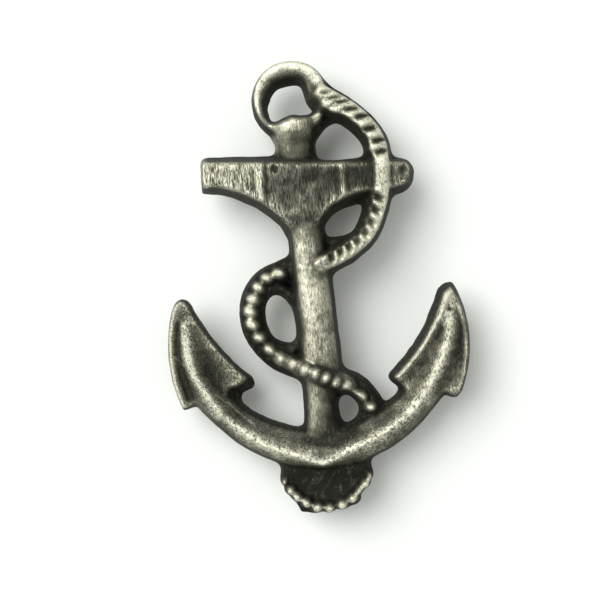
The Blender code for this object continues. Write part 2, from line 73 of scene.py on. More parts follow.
def smooth_min(a, b, k):
    """The lower of two values, rounded off where they are within k of each other."""
    h = np.clip(0.5 + 0.5 * (b - a) / k, 0.0, 1.0)
    return b * (1 - h) + a * h - k * h * (1 - h)


def smooth_max(a, b, k):
    """The higher of two values, rounded off in the same way."""
    return -smooth_min(-a, -b, k)


def smooth_step(x, low, high):
    """0 at low and 1 at high, with a soft start and end. Low may be the larger one."""
    t = np.clip((x - low) / (high - low), 0.0, 1.0)
    return t * t * (3 - 2 * t)


def dome(ratio, power=2.0, drop=1.0):
    """1 in the middle, falling to the square root of 1 - drop where ratio is 1."""
    return np.sqrt(np.clip(1 - drop * np.abs(np.clip(ratio, -1, 1)) ** power, 0, 1))


def turned(x, y, centre, turn):
    """Distances from a centre along a turned direction and across it."""
    dx, dy = x - centre[0], y - centre[1]
    return dx * math.cos(turn) + dy * math.sin(turn), dy * math.cos(turn) - dx * math.sin(turn)


def spot(x, y, centre, radii):
    """How many radii each point is from the middle of an oval."""
    return np.hypot((x - centre[0]) / radii[0], (y - centre[1]) / radii[1])


def arc(start, via, end, count):
    """Points on the circle through three points."""
    (ax, ay), (bx, by), (cx, cy) = start, via, end
    a2, b2, c2 = ax * ax + ay * ay, bx * bx + by * by, cx * cx + cy * cy
    det = 2.0 * (ax * (by - cy) + bx * (cy - ay) + cx * (ay - by))
    ox = (a2 * (by - cy) + b2 * (cy - ay) + c2 * (ay - by)) / det
    oy = (a2 * (cx - bx) + b2 * (ax - cx) + c2 * (bx - ax)) / det
    first = math.atan2(ay - oy, ax - ox)
    turn_via = (math.atan2(by - oy, bx - ox) - first) % math.tau
    turn_end = (math.atan2(cy - oy, cx - ox) - first) % math.tau
    if turn_via > turn_end:
        turn_end -= math.tau
    angles = first + turn_end * np.arange(count + 1) / count
    radius = math.hypot(ax - ox, ay - oy)
    return np.stack([ox + radius * np.cos(angles), oy + radius * np.sin(angles)], axis=1)


def smooth_route(points, parts=6):
    """A curve through the points, as a polyline."""
    knots = np.array(points, float)
    knots = np.vstack([2 * knots[0] - knots[1], knots, 2 * knots[-1] - knots[-2]])
    t = (np.arange(parts) / parts)[:, None]
    spans = []
    for a, b, c, d in zip(knots, knots[1:], knots[2:], knots[3:]):
        bend = (2 * a - 5 * b + 4 * c - d) * t ** 2 + (3 * b - a - 3 * c + d) * t ** 3
        spans.append((2 * b + (c - a) * t + bend) / 2)
    return np.vstack(spans + [knots[-2]])


def along(x, y, route):
    """Distance to a polyline, the same signed by side (left is positive), and the length walked."""
    best = np.full(x.shape, np.inf)
    offset, walked = np.zeros(x.shape), np.zeros(x.shape)
    start = 0.0
    for (ax, ay), (bx, by) in zip(route, route[1:]):
        dx, dy = bx - ax, by - ay
        length = math.hypot(dx, dy)
        if length < 1e-9:
            continue
        t = np.clip(((x - ax) * dx + (y - ay) * dy) / length ** 2, 0.0, 1.0)
        d = np.hypot(x - ax - t * dx, y - ay - t * dy)
        near = d < best
        best = np.where(near, d, best)
        offset = np.where(near, d * np.sign(dx * (y - ay) - dy * (x - ax)), offset)
        walked = np.where(near, start + t * length, walked)
        start += length
    return best, offset, walked


def outline_distance(x, y, outline):
    """Distance to a closed outline, negative inside."""
    ring = np.vstack([outline, outline[:1]])
    distance = along(x, y, ring)[0]
    inside = np.zeros(x.shape, bool)
    for (ax, ay), (bx, by) in zip(ring, ring[1:]):
        if ay != by:
            inside ^= ((ay > y) != (by > y)) & (x < (bx - ax) * (y - ay) / (by - ay) + ax)
    return np.where(inside, -distance, distance)


def noise(x, y, size, seed):
    """Smooth noise from -1 to 1 with blobs of the given size."""
    u, v = x / size, y / size
    iu, iv = np.floor(u).astype(np.int64), np.floor(v).astype(np.int64)
    fu, fv = u - iu, v - iv
    fu, fv = fu * fu * (3 - 2 * fu), fv * fv * (3 - 2 * fv)

    def corner(i, j):
        h = (i * 374761393 + j * 668265263 + seed * 2147483647) & 0xFFFFFFFF
        h = ((h ^ (h >> 13)) * 1274126177) & 0xFFFFFFFF
        return ((h ^ (h >> 16)) & 0xFFFF) / 32767.5 - 1.0

    low = corner(iu, iv) * (1 - fu) + corner(iu + 1, iv) * fu
    high = corner(iu, iv + 1) * (1 - fu) + corner(iu + 1, iv + 1) * fu
    return low * (1 - fv) + high * fv


BOX_SHARE = 0.62


def blur(values, radius):
    """A soft blur of about this radius: three square means that reach BOX_SHARE of it to each side."""
    reach = max(1, round(radius / CELL * BOX_SHARE))
    for _ in range(3):
        for axis in (0, 1):
            padded = np.concatenate([np.take(values, [0] * (reach + 1), axis), values,
                                     np.take(values, [-1] * reach, axis)], axis)
            total = np.cumsum(padded, axis)
            count = values.shape[axis]
            high = np.take(total, np.arange(2 * reach + 1, 2 * reach + 1 + count), axis)
            low = np.take(total, np.arange(count), axis)
            values = (high - low) / (2 * reach + 1)
    return values


def walled(top, depth, slope, rounding=0.5):
    """A top surface cut off by the drafted wall that rises from an outline's edge."""
    return smooth_min(top, LAND + slope * depth, rounding)


# ---- The members: each returns its footprint distance and its top surface ------------------------

RING_CENTRE = (0.0, 11.85)
RING_INNER, RING_CREST, RING_OUTER = 1.2, 1.98, 2.43        # radii
RING_TOP = 2.1


def shackle_ring(x, y):
    radius = np.hypot(x - RING_CENTRE[0], y - RING_CENTRE[1])
    turn = np.degrees(np.arctan2(y - RING_CENTRE[1], x - RING_CENTRE[0]))
    outer = RING_OUTER + 0.12 * np.exp(-((turn - 45) / 25) ** 2)        # fuller where the rope starts
    edge = np.maximum(RING_INNER - radius, radius - outer)
    under_head = smooth_step(np.abs(turn + 95), 62, 38)
    beside_rope = np.exp(-((turn + 22) / 32) ** 2)
    round_off = 0.2 * np.clip(np.abs(radius - RING_CREST) / 0.42, 0, 2) ** 3
    top = RING_TOP - round_off - 0.5 * under_head - 0.4 * beside_rope
    return edge, smooth_min(top, LAND + 12.0 * (outer - radius), 0.3)


SHANK_SIDES = np.array([        # y, left side and right side
    (-9.6, -1.6, 1.5), (-8.6, -1.3, 1.2), (-7.5, -1.16, 1.08), (-6.0, -1.1, 1.15),
    (-4.9, -1.1, 1.55), (-3.0, -1.08, 1.54), (-1.0, -1.08, 1.52), (1.0, -1.05, 1.46),
    (3.0, -1.0, 1.3), (4.5, -1.1, 1.15), (8.0, -1.2, 1.1), (9.2, -1.24, 1.15),
    (9.5, -1.32, 1.3), (10.0, -1.4, 1.4), (10.6, -1.36, 1.4), (11.2, -1.1, 1.2)])
SHANK_TOPS = np.array([     # y and height
    (-10.2, 1.2), (-9.0, 1.9), (-7.5, 2.15), (-6.0, 2.3), (-4.0, 2.5), (2.5, 2.5),
    (4.2, 2.2), (6.0, 1.7), (8.4, 1.75), (9.0, 1.9), (9.8, 2.3), (10.6, 2.25)])
SHANK_FOOT = -9.6
HEAD_TOP = 11.08


def anchor_shank(x, y):
    left, right = [np.interp(y, SHANK_SIDES[:, 0], SHANK_SIDES[:, side]) for side in (1, 2)]
    head_top = HEAD_TOP - 0.12 * x ** 2
    edge = np.maximum(np.maximum(left - x, x - right), np.maximum(y - head_top, SHANK_FOOT - y))
    across = (2 * x - left - right) / (right - left)
    top = np.interp(y, SHANK_TOPS[:, 0], SHANK_TOPS[:, 1]) * dome(across, 2.6, 0.75)
    top = smooth_min(top, LAND + 6.5 * np.minimum(x - left, right - x), 0.4)
    top = top - 3.0 * np.clip(SHANK_FOOT - 0.1 - y, 0, None)        # sinks below the crown
    return edge, smooth_min(top, LAND + 4.5 * (head_top - y), 0.5)


STOCK_OUTLINE = np.vstack([
    arc((-6.1, 6.72), (-2.95, 5.55), (-1.0, 3.55), 12),
    arc((1.1, 3.5), (2.3, 4.75), (4.2, 5.3), 10),
    [(5.9, 5.4), (6.6, 5.55), (6.95, 5.78), (7.15, 6.2), (7.3, 6.8), (7.22, 7.15), (6.95, 7.5)],
    [(6.5, 7.68), (1.2, 8.33), (-1.4, 8.6), (-5.5, 8.95), (-5.85, 8.88), (-6.0, 8.6)]])
STOCK_TOP_EDGE = ((-6.0, 8.5), (7.3, 7.2))
STOCK_BANDS = ((-2.36, 0.3, 0.14), (2.74, 0.26, 0.12))       # middle, half width and height
STOCK_TOP = 2.36
STOCK_TIP, STOCK_TIP_RADII = (6.55, 6.6), (0.42, 0.55)      # the dished right end
STOCK_PIT, STOCK_PIT_RADII = (-1.35, 7.72), (0.22, 0.34)


def stock(x, y):
    edge = outline_distance(x, y, STOCK_OUTLINE)
    top = STOCK_TOP - 0.06 * smooth_step(x, 3.0, 4.6)
    for middle, half, height in STOCK_BANDS:
        away = np.abs(x - middle - 0.02 * (y - 7))
        groove = np.exp(-((away - half - 0.08) / 0.1) ** 2)
        top = top + height * dome(away / half) * (away < half) - 0.08 * groove
    top = top - 0.12 * np.clip(1 - spot(x, y, STOCK_TIP, STOCK_TIP_RADII) ** 4, 0, 1)
    pit = spot(x, y, STOCK_PIT, STOCK_PIT_RADII) + 0.25 * noise(x, y, 0.2, 51)
    top = top - 0.3 * np.clip(1 - pit ** 2, 0, 1)
    (ax, ay), (bx, by) = STOCK_TOP_EDGE
    below = (ay + (by - ay) * (x - ax) / (bx - ax)) - y
    top = smooth_min(top, 2.2 + 3.6 * below, 0.25)
    top = top - 0.25 * (1 - smooth_step(y, 3.5, 4.9))       # lower in the web by the shank
    at_left_end = smooth_step(-x, 5.2, 5.7)
    return edge, walled(top, -edge, 5.2 + 6 * at_left_end, 0.5 - 0.25 * at_left_end)


UPPER_ROPE_ROUTE = smooth_route([
    (1.4, 12.42), (2.4, 11.72), (3.44, 10.97), (4.27, 10.12), (4.92, 9.1), (5.2, 8.0), (5.2, 6.8),
    (5.0, 5.5), (4.6, 4.35), (3.95, 3.2), (3.0, 2.4), (2.0, 1.9), (0.9, 1.5)])
ROPE_HALF = 0.76        # half the width of either rope
ROPE_SLANT = 0.3        # of the notches between the strands
ROPE_CUTS = (       # place and strength
    (2.12, 12.03, 0.5), (2.76, 11.7, 0.6), (3.34, 11.4, 0.7), (3.77, 10.88, 0.85),
    (4.4, 10.36, 0.9), (4.7, 9.52, 1.0), (5.27, 8.78, 0.9), (5.3, 8.06, 0.8))
CUT_HALF_LENGTH, CUT_HALF_WIDTH = 0.48, 0.12
CUT_DEPTH = 0.42
STRAND_FOOT, STRAND_RISE = 1.5, 1.35        # height beside the strands, and what they add to it
CUT_TURN = math.radians(9)
ROPE_LUMPS = (
    (1.35, 12.1), (1.87, 11.85), (2.45, 11.45), (3.05, 11.05), (3.66, 10.55), (4.25, 9.9), (4.75, 9.15),
    (5.0, 8.25), (5.1, 7.3), (5.05, 6.4), (4.85, 5.6), (4.62, 4.85), (4.3, 4.12), (3.85, 3.5),
    (3.39, 2.95), (2.85, 2.55), (2.33, 2.25), (1.77, 1.96), (1.2, 1.7))


def rope_cuts(x, y):
    """How deep the cuts between the upper rope's strands are, from 0 to 1."""
    depth = np.zeros(x.shape)
    for cx, cy, strength in ROPE_CUTS:
        length, across = turned(x, y, (cx, cy), CUT_TURN)
        cut = np.exp(-(length / CUT_HALF_LENGTH) ** 4 - (across / CUT_HALF_WIDTH) ** 2)
        depth = np.maximum(depth, strength * cut)
    return depth


def lump_places(route, lumps):
    """How far along the route each lump lies."""
    points = np.array(lumps)
    return along(points[:, 0], points[:, 1], route)[2]


def upper_rope(x, y):
    distance, offset, walked = along(x, y, UPPER_ROPE_ROUTE)
    inner_side = smooth_step(-offset, 0.0, 0.3)
    edge = distance - ROPE_HALF - (0.08 + 0.17 * inner_side) * smooth_step(y, 7.6, 8.6)
    over_stock = smooth_step(y, 5.3, 5.9) * (1 - smooth_step(y, 7.6, 8.1))
    low_part = 1 - smooth_step(y, 5.5, 6.5)
    places = lump_places(UPPER_ROPE_ROUTE, ROPE_LUMPS)
    phase = np.interp(walked - ROPE_SLANT * offset, places, np.arange(len(places)))
    to_notch = np.abs(phase - np.floor(phase) - 0.5)
    notch = np.exp(-(to_notch / (0.13 + 0.07 * low_part)) ** 2)
    inner_notch = (0.2 + 0.75 * low_part) * np.exp(-((offset + 0.38) / 0.5) ** 2)
    depth = inner_notch * (1 - 0.94 * over_stock)
    from_crest = offset + 0.22 - 0.12 * over_stock
    width = np.where(from_crest > 0, 1.12 - 0.12 * over_stock, 0.95)
    round_top = STRAND_FOOT + STRAND_RISE * dome(from_crest / width, np.where(from_crest > 0, 2.1, 3.6))
    end = smooth_step(walked, -0.1, 0.45)
    top = (round_top - depth * notch) * end + STRAND_FOOT * (1 - end)
    return edge, walled(top - CUT_DEPTH * rope_cuts(x, y), -edge, 9.0, np.where(offset < 0, 0.12, 0.3))


LOWER_ROPE_ROUTE = smooth_route([
    (-0.6, 1.6), (-1.7, 1.3), (-2.6, 0.95), (-3.22, 0.42), (-3.64, -0.3), (-3.8, -1.2), (-3.66, -2.2),
    (-3.17, -3.15), (-2.35, -4.05), (-1.2, -4.72), (0.1, -5.25), (1.25, -5.75), (2.2, -6.35), (2.85, -7.15),
    (3.25, -8.2)])
ROPE_BEADS = (      # half length, half width and turn in degrees, and the places of such beads
    ((0.5, 0.4, -27.0), (
        (-1.79, 1.19), (-2.56, 1.0), (-3.15, 0.47), (-3.54, -0.22), (-3.83, -0.95), (-3.78, -1.77),
        (-3.41, -2.6), (-2.87, -3.39))),
    ((0.34, 0.46, -30.0), (
        (-2.22, -4.0), (-1.55, -4.43), (-0.9, -4.83), (-0.25, -5.1), (0.4, -5.42), (1.02, -5.78),
        (1.68, -6.15))),
    ((0.44, 0.34, -20.0), ((2.43, -6.84), (2.95, -7.58))))
BEAD_HEIGHT = 0.85
BED_HEIGHT = 1.15       # of the metal under the beads
CROSSING = (        # the ridge under the beads over the shank
    (-2.3, -4.0), (-1.55, -4.43), (-0.9, -4.83), (-0.2, -5.2), (0.4, -5.42), (1.02, -5.75), (1.75, -6.15))
CROSSING_X, CROSSING_REACH, CROSSING_RISE = 0.2, 2.4, 1.3
CROSSING_TOP_Y = -2.0
RIDGE_HEIGHT, RIDGE_HALF = 0.36, 0.55


def rope_beads(x, y):
    """1 on top of the lower rope's beads and 0 between them."""
    beads = [(shape, place) for shape, places in ROPE_BEADS for place in places]
    raised = np.zeros(x.shape)
    for number, ((half_length, half_width, degrees), place) in enumerate(beads):
        turn = math.radians(degrees + 12 * math.sin(2.4 * number))
        size = 1 + 0.08 * math.sin(5.1 * number)
        length, across = turned(x, y, place, turn)
        ratio = np.hypot(length / half_length, across / half_width) / size
        raised = smooth_max(raised, dome(ratio, 4.0), 0.03)
    return raised


def crossing_lift(x, y):
    """1 where the lower rope is highest, over the shank, and 0 away from there."""
    away = np.clip(np.abs(x - CROSSING_X) / CROSSING_REACH, 0, 1)
    return np.where(y < CROSSING_TOP_Y, np.cos(away * math.pi / 2) ** 2, 0.0)


def lower_rope(x, y):
    distance, _, walked = along(x, y, LOWER_ROPE_ROUTE)
    edge = distance - ROPE_HALF - 0.1 * smooth_step(walked, 11.5, 13.0)
    lift = crossing_lift(x, y)
    top = BED_HEIGHT + CROSSING_RISE * lift - 0.3 * np.clip(distance / 0.74, 0, 1) ** 3
    ridge = RIDGE_HEIGHT * dome(along(x, y, CROSSING)[0] / RIDGE_HALF) + 0.06 * noise(x, y, 0.3, 71) * lift
    raised = smooth_max(BEAD_HEIGHT * rope_beads(x, y), ridge, 0.08)
    return edge, walled(top + raised, -edge, 4.2 + 7.0 * lift)


ARMS_INNER = arc((-5.45, -6.05), (-0.1, -8.62), (5.1, -6.7), 24)
ARMS_OUTER = np.vstack([arc((-7.65, -6.45), (-5.35, -9.2), (-0.2, -11.25), 16),
                        arc((-0.2, -11.25), (4.75, -9.97), (7.6, -7.35), 16)[1:]])
ARMS_OUTLINE = np.vstack([ARMS_OUTER, [(7.3, -5.4)], ARMS_INNER[::-1], [(-6.9, -4.6)]])
ARM_EDGE_HEIGHT, ARM_RISE, ARM_TOP = 1.42, 1.18, 2.42
CROWN_POINT = (-0.3, -10.82)
LEFT_CREST = smooth_route([
    (-8.05, -1.5), (-7.98, -2.4), (-7.88, -3.04), (-7.78, -3.85), (-7.6, -4.55), (-7.28, -5.2),
    (-6.92, -5.95), (-6.5, -6.63), (-5.95, -7.35), (-5.2, -8.15), (-4.3, -8.88), (-3.2, -9.5),
    (-2.0, -10.05), (-1.0, -10.5), CROWN_POINT], 4)
RIGHT_CREST = smooth_route([
    (8.6, -1.5), (8.45, -2.5), (8.25, -3.5), (7.95, -4.4), (7.5, -5.35), (6.98, -6.2), (6.45, -6.95),
    (5.85, -7.75), (5.1, -8.35), (4.4, -8.8), (3.5, -9.3), (2.5, -9.72), (1.5, -10.07), (0.5, -10.5),
    CROWN_POINT], 4)


def crest_distance(x, y):
    """Distance to the nearer crest and how far down it that is."""
    left, _, left_walk = along(x, y, LEFT_CREST)
    right, _, right_walk = along(x, y, RIGHT_CREST)
    return np.minimum(left, right), np.where(left < right, left_walk, right_walk)


def crown_arms(x, y):
    edge = outline_distance(x, y, ARMS_OUTLINE)
    inward = np.clip(-edge - 0.15, 0, None)
    to_crest = crest_distance(x, y)[0]
    rise = inward / (inward + to_crest + 0.02)
    sharp = ARM_EDGE_HEIGHT + ARM_RISE * rise
    soft = smooth_min(sharp, ARM_TOP - 0.12 * to_crest, 0.3)
    outside = along(x, y, ARMS_OUTER)[0] < along(x, y, ARMS_INNER)[0]
    return edge, walled(soft, -edge, np.where(outside, 9.0, 5.0), 0.3)


FLUKE_CREST, FLUKE_CREST_HALF = 2.5, 0.62       # height and half width of the ridge
FLUKE_RIM = 2.1
LEFT_VALLEY, RIGHT_VALLEY = 1.45, 1.5


def fluke_top(x, y, rim, valley):
    """A fluke's hollow face between its rim and the crest, which fades out towards the fluke's point."""
    to_crest, walked = crest_distance(x, y)
    ridge = np.exp(-(to_crest / FLUKE_CREST_HALF) ** 2)
    strength = 0.25 + 0.75 * smooth_step(walked, 0.0, 2.0)
    low = valley + 0.25 * smooth_step(to_crest, 0.8, 2.0) - 0.45 * smooth_step(to_crest, 2.0, 3.2)
    top = low + (FLUKE_CREST - low) * ridge * strength
    return smooth_max(top, FLUKE_RIM - along(x, y, rim)[0], 0.3)


LEFT_FLUKE = np.vstack([
    arc((-8.66, -6.7), (-9.26, -3.3), (-8.72, -0.3), 14), [(-8.44, 0.12), (-8.08, 0.3), (-7.74, 0.17)],
    arc((-7.5, -0.15), (-6.15, -2.72), (-4.2, -5.0), 12),
    [(-4.0, -5.52), (-4.2, -5.74), (-4.85, -5.97), (-5.5, -7.0), (-6.6, -7.6), (-7.3, -6.95),
     (-7.74, -6.43)]])
LEFT_RIM = arc((-8.45, -0.2), (-9.0, -3.3), (-8.6, -6.3), 12)
LEFT_BARB_EDGE = ((-3.6, -4.95), (-4.35, -5.0), (-5.0, -5.4), (-5.7, -5.6), (-5.9, -6.3), (-5.2, -7.3))
RIGHT_FLUKE = np.vstack([
    arc((8.82, -7.3), (9.66, -4.1), (9.1, -0.75), 14), [(8.9, -0.4), (8.45, -0.45), (8.0, -0.75)],
    arc((7.75, -1.2), (6.6, -3.35), (4.45, -5.6), 12),
    [(4.28, -5.9), (4.45, -6.25), (4.85, -6.6), (5.4, -7.6), (6.5, -8.1), (7.3, -7.6), (7.62, -7.32),
     (8.1, -7.6), (8.5, -7.62)]])
RIGHT_RIM = arc((8.45, -1.1), (7.0, -3.6), (4.85, -5.85), 12)
RIGHT_OUTER_RIM = arc((9.1, -1.9), (9.35, -4.1), (8.75, -6.9), 12)
RIGHT_PIT, RIGHT_PIT_RADIUS = (8.45, -2.05), 0.13


def left_fluke(x, y):
    edge = outline_distance(x, y, LEFT_FLUKE)
    top = fluke_top(x, y, LEFT_RIM, LEFT_VALLEY)
    off_barb, side, _ = along(x, y, LEFT_BARB_EDGE)
    top = np.where(side > 0, smooth_max(top - 2.9 * off_barb, 0.3, 0.2), top)       # falls past the barb
    return edge, walled(top, -edge, 16.0, 0.2)


def right_fluke(x, y):
    edge = outline_distance(x, y, RIGHT_FLUKE)
    top = fluke_top(x, y, RIGHT_RIM, RIGHT_VALLEY)
    top = smooth_max(top, 1.9 - 1.2 * along(x, y, RIGHT_OUTER_RIM)[0], 0.2)
    pit = np.hypot(x - RIGHT_PIT[0], y - RIGHT_PIT[1]) / RIGHT_PIT_RADIUS
    top = top - 0.25 * np.clip(1 - pit ** 2, 0, 1)
    outside = along(x, y, RIGHT_OUTER_RIM)[0] < along(x, y, RIGHT_RIM)[0]
    return edge, walled(top, -edge, np.where(outside, 9.0, 4.4), 0.35)


NOWHERE = 9.0           # further than any distance or height that matters

CROWN_CENTRE = (-0.2, -11.1)
CROWN_RADII = (2.45, 2.3)
CROWN_TOP_Y = -10.2
PLATE_HEIGHT, GATE_HEIGHT = 0.9, 0.42
CROWN_BEAD_FOOT, CROWN_BEAD_RISE = 1.15, 0.7
CROWN_BEADS = (     # place, half length, half width and turn in degrees
    (-2.8, -11.61, 0.28, 0.17, 80), (-2.47, -12.19, 0.36, 0.26, 20), (-2.1, -12.65, 0.36, 0.27, 10),
    (-1.57, -13.06, 0.36, 0.29, 20), (-0.94, -13.4, 0.42, 0.27, 35), (-0.2, -13.52, 0.4, 0.27, 42),
    (0.6, -13.38, 0.42, 0.3, 32), (1.28, -13.06, 0.4, 0.27, 45), (1.72, -12.6, 0.38, 0.2, 55),
    (2.15, -12.25, 0.36, 0.26, 75), (2.48, -11.8, 0.32, 0.17, 80))
GATE_OUTLINE = np.array([(-2.2, -12.6), (-2.17, -13.3), (-1.97, -13.78), (-1.2, -13.86), (0.9, -13.7),
                         (1.5, -13.62), (1.78, -13.42), (1.75, -12.6)])


def crown_plate(x, y):
    radius = spot(x, y, CROWN_CENTRE, CROWN_RADII)
    edge = np.maximum((radius - 1.14) * 2.35, y - CROWN_TOP_Y)
    gate = outline_distance(x, y, GATE_OUTLINE)
    plate = PLATE_HEIGHT + 0.35 * smooth_step(y, -12.3, -10.9) + 0.05 * noise(x, y, 0.5, 81)
    plate = smooth_min(plate, LAND - 5 * edge, 0.3)
    stub = smooth_min(GATE_HEIGHT, 0.2 - 5 * gate, 0.1)
    return np.minimum(edge, gate), np.maximum(plate, stub)


def crown_rope(x, y):
    top, edge = np.full(x.shape, -NOWHERE), np.full(x.shape, NOWHERE)
    for bx, by, half_length, half_width, degrees in CROWN_BEADS:
        length, across = turned(x, y, (bx, by), math.radians(degrees))
        ratio = np.hypot(length / half_length / 0.9, across / half_width / 1.25)
        edge = np.minimum(edge, (ratio - 1) * half_width)
        bead = CROWN_BEAD_FOOT + CROWN_BEAD_RISE * dome(ratio, 2.8)
        top = np.maximum(top, bead - 2.5 * np.clip(ratio - 1, 0, None))
    return edge, top


MEMBERS = {
    "shackle_ring": shackle_ring, "anchor_shank": anchor_shank, "stock": stock, "upper_rope": upper_rope,
    "lower_rope": lower_rope, "crown_arms": crown_arms, "left_fluke": left_fluke,
    "right_fluke": right_fluke, "crown_plate": crown_plate, "crown_rope": crown_rope}

# The five openings through the casting, each with how far thin metal reaches round it and how steep
# its wall is.
OPENINGS = (
    (((-1.43, 11.3), (-1.38, 11.78), (-0.85, 12.64), (0.1, 12.9), (0.68, 12.76), (0.87, 12.2),
      (0.99, 11.67), (1.33, 11.15), (1.16, 11.0), (0.68, 10.95), (0.0, 11.06), (-0.57, 10.9),
      (-0.98, 10.74), (-1.3, 10.82)), 0.4, 4.2),
    (((1.3, 8.6), (1.35, 9.2), (1.89, 9.86), (2.4, 10.2), (2.87, 10.22), (3.44, 9.77), (3.86, 9.26),
      (4.23, 8.68), (4.2, 8.15), (3.88, 7.98), (2.9, 7.95), (1.9, 8.0), (1.45, 8.17)), 0.5, 14.0),
    (((1.43, 4.01), (1.97, 4.57), (2.7, 4.87), (3.5, 5.04), (3.78, 4.9), (3.6, 4.26), (3.15, 3.55),
      (2.7, 3.26), (2.1, 3.17), (1.55, 3.22), (1.36, 3.55)), 0.75, 5.0),
    (((-2.87, -0.84), (-2.6, -0.28), (-2.21, -0.09), (-1.85, -0.2), (-1.4, -0.7), (-1.18, -1.3),
      (-1.1, -2.2), (-1.17, -2.8), (-1.55, -3.13), (-2.1, -2.98), (-2.6, -2.57), (-2.9, -1.8)), 0.8, 4.2),
    (((1.08, -7.5), (1.13, -6.98), (1.45, -6.77), (1.8, -6.87), (2.15, -7.28), (2.27, -7.7), (2.1, -8.12),
      (1.7, -8.44), (1.3, -8.42), (1.1, -8.05)), 0.45, 4.2))


def closed_curve(points, parts=5):
    """A smooth closed outline through the points."""
    ring = list(points) + list(points[:3])
    curve = smooth_route(ring, parts)
    return curve[parts:parts * (len(points) + 1)]


# ---- One casting ---------------------------------------------------------------------------------

columns = np.arange(round(WEST / CELL), round(EAST / CELL)) * CELL
rows = np.arange(round(SOUTH / CELL), round(NORTH / CELL)) * CELL
X, Y = np.meshgrid(columns, rows, indexing="ij")

# How much closer to the middle of the picture some tops stand than the feet of their walls.
LEAN = {"upper_rope": 1.016, "stock": 1.008, "crown_arms": 1.008, "left_fluke": 1.008, "right_fluke": 1.008}


def leaned(member):
    """Lattice places moved out from the middle, so that a top drawn at them comes out closer to it."""
    scale = LEAN.get(member, 1.0)
    return AIM[0] + (X - AIM[0]) * scale, AIM[1] + (Y - AIM[1]) * scale


feet, tops = {}, {}
for member, shape in MEMBERS.items():
    feet[member] = shape(X, Y)[0]
    tops[member] = shape(*leaned(member))[1]

MEMBER_BLENDS = {       # how softly a member's top runs into the ones before it
    "crown_arms": 0.35, "left_fluke": 0.3, "right_fluke": 0.3, "anchor_shank": 0.3, "crown_plate": 0.4}
CLOSE_BLEND = 0.12
footprint = feet["shackle_ring"]
relief = tops["shackle_ring"]
for member in list(MEMBERS)[1:]:
    footprint = smooth_min(footprint, feet[member], CORNER_BLEND)
    relief = smooth_max(relief, tops[member], MEMBER_BLENDS.get(member, CLOSE_BLEND))
nearest_foot = np.min(list(feet.values()), axis=0)
web = np.minimum(LAND - 5.0 * footprint, WEB_HEIGHT) - 9.0 * np.clip(-nearest_foot - 0.02, 0, None)
relief = smooth_max(relief, web, 0.2)
hole_wall = np.full(X.shape, NOWHERE)
wall_top = np.full(X.shape, NOWHERE)
for points, thin, slope in OPENINGS:
    away = outline_distance(X, Y, closed_curve(points))
    away = away + 0.03 * noise(X, Y, 0.35, 7)
    hole_wall = np.minimum(hole_wall, away)
    wall_top = np.minimum(wall_top, LAND + slope * away)
    footprint = smooth_min(footprint, away - thin, 0.15)
    relief = smooth_max(relief, np.minimum(THIN_HEIGHT, 9 * (thin - away)), 0.2)
footprint = footprint + 0.035 * noise(X, Y, 0.7, 3) + 0.02 * noise(X, Y, 0.25, 5)
footprint = blur(np.maximum(footprint, -hole_wall), 0.05)
relief = smooth_min(relief, wall_top, 0.4)
relief = blur(np.maximum(relief, -1.0), 0.06)
relief = relief + 0.016 * noise(X, Y, 0.6, 11) + 0.012 * noise(X, Y, 0.24, 12)
owner = np.argmax(list(tops.values()), axis=0)

LEFT_GROOVE = ((-8.4, -1.3), (-8.5, -2.09), (-8.56, -3.33), (-8.43, -4.41), (-8.3, -5.23), (-8.18, -5.87))
LEFT_BAND, LEFT_BAND_SHADE = ((-2.5, 5.9), (-2.42, 8.4)), ((-1.97, 6.2), (-1.92, 8.4))
RIGHT_BAND = ((2.66, 5.9), (2.74, 7.9))
FLUKE_SCRATCH = ((-8.86, -3.19), (-8.24, -3.85))
SHANK_SCRATCH = ((-1.15, -3.76), (-0.7, -4.2), (-0.2, -4.55))
ARM_SCRATCH = ((-6.44, -5.87), (-5.74, -6.47), (-5.12, -7.15), (-4.43, -7.85), (-3.99, -8.28))
MARKS = (       # route, half width, and how much brighter and how much higher
    (LEFT_CREST, 0.27, 0.36, 0.0), (RIGHT_CREST, 0.27, 0.3, 0.0), (LEFT_RIM, 0.3, 0.3, 0.0),
    (RIGHT_RIM, 0.22, 0.36, 0.0), (LEFT_GROOVE, 0.26, -0.26, -0.1), (LEFT_BAND, 0.17, 0.24, 0.0),
    (LEFT_BAND_SHADE, 0.07, -0.4, 0.0), (RIGHT_BAND, 0.15, 0.24, 0.0), (FLUKE_SCRATCH, 0.05, 0.5, -0.03),
    (SHANK_SCRATCH, 0.05, 0.45, -0.02), (ARM_SCRATCH, 0.045, 0.45, -0.03))


def mark(route, half):
    """1 on a mark, fading to 0 beside it."""
    return np.exp(-(along(*leaned("left_fluke"), route)[0] / half) ** 2)


for route, half, _, rise in MARKS:
    if rise:
        relief = relief + rise * mark(route, half)

inside = footprint < 0
solid_height = np.where(inside, np.clip(relief, 0, None), 0.0)
slope_x, slope_y = np.gradient(relief, CELL)
side_x, side_y = np.gradient(footprint, CELL)
steepness = np.sqrt(1 + slope_x ** 2 + slope_y ** 2)
facing = 1 / steepness

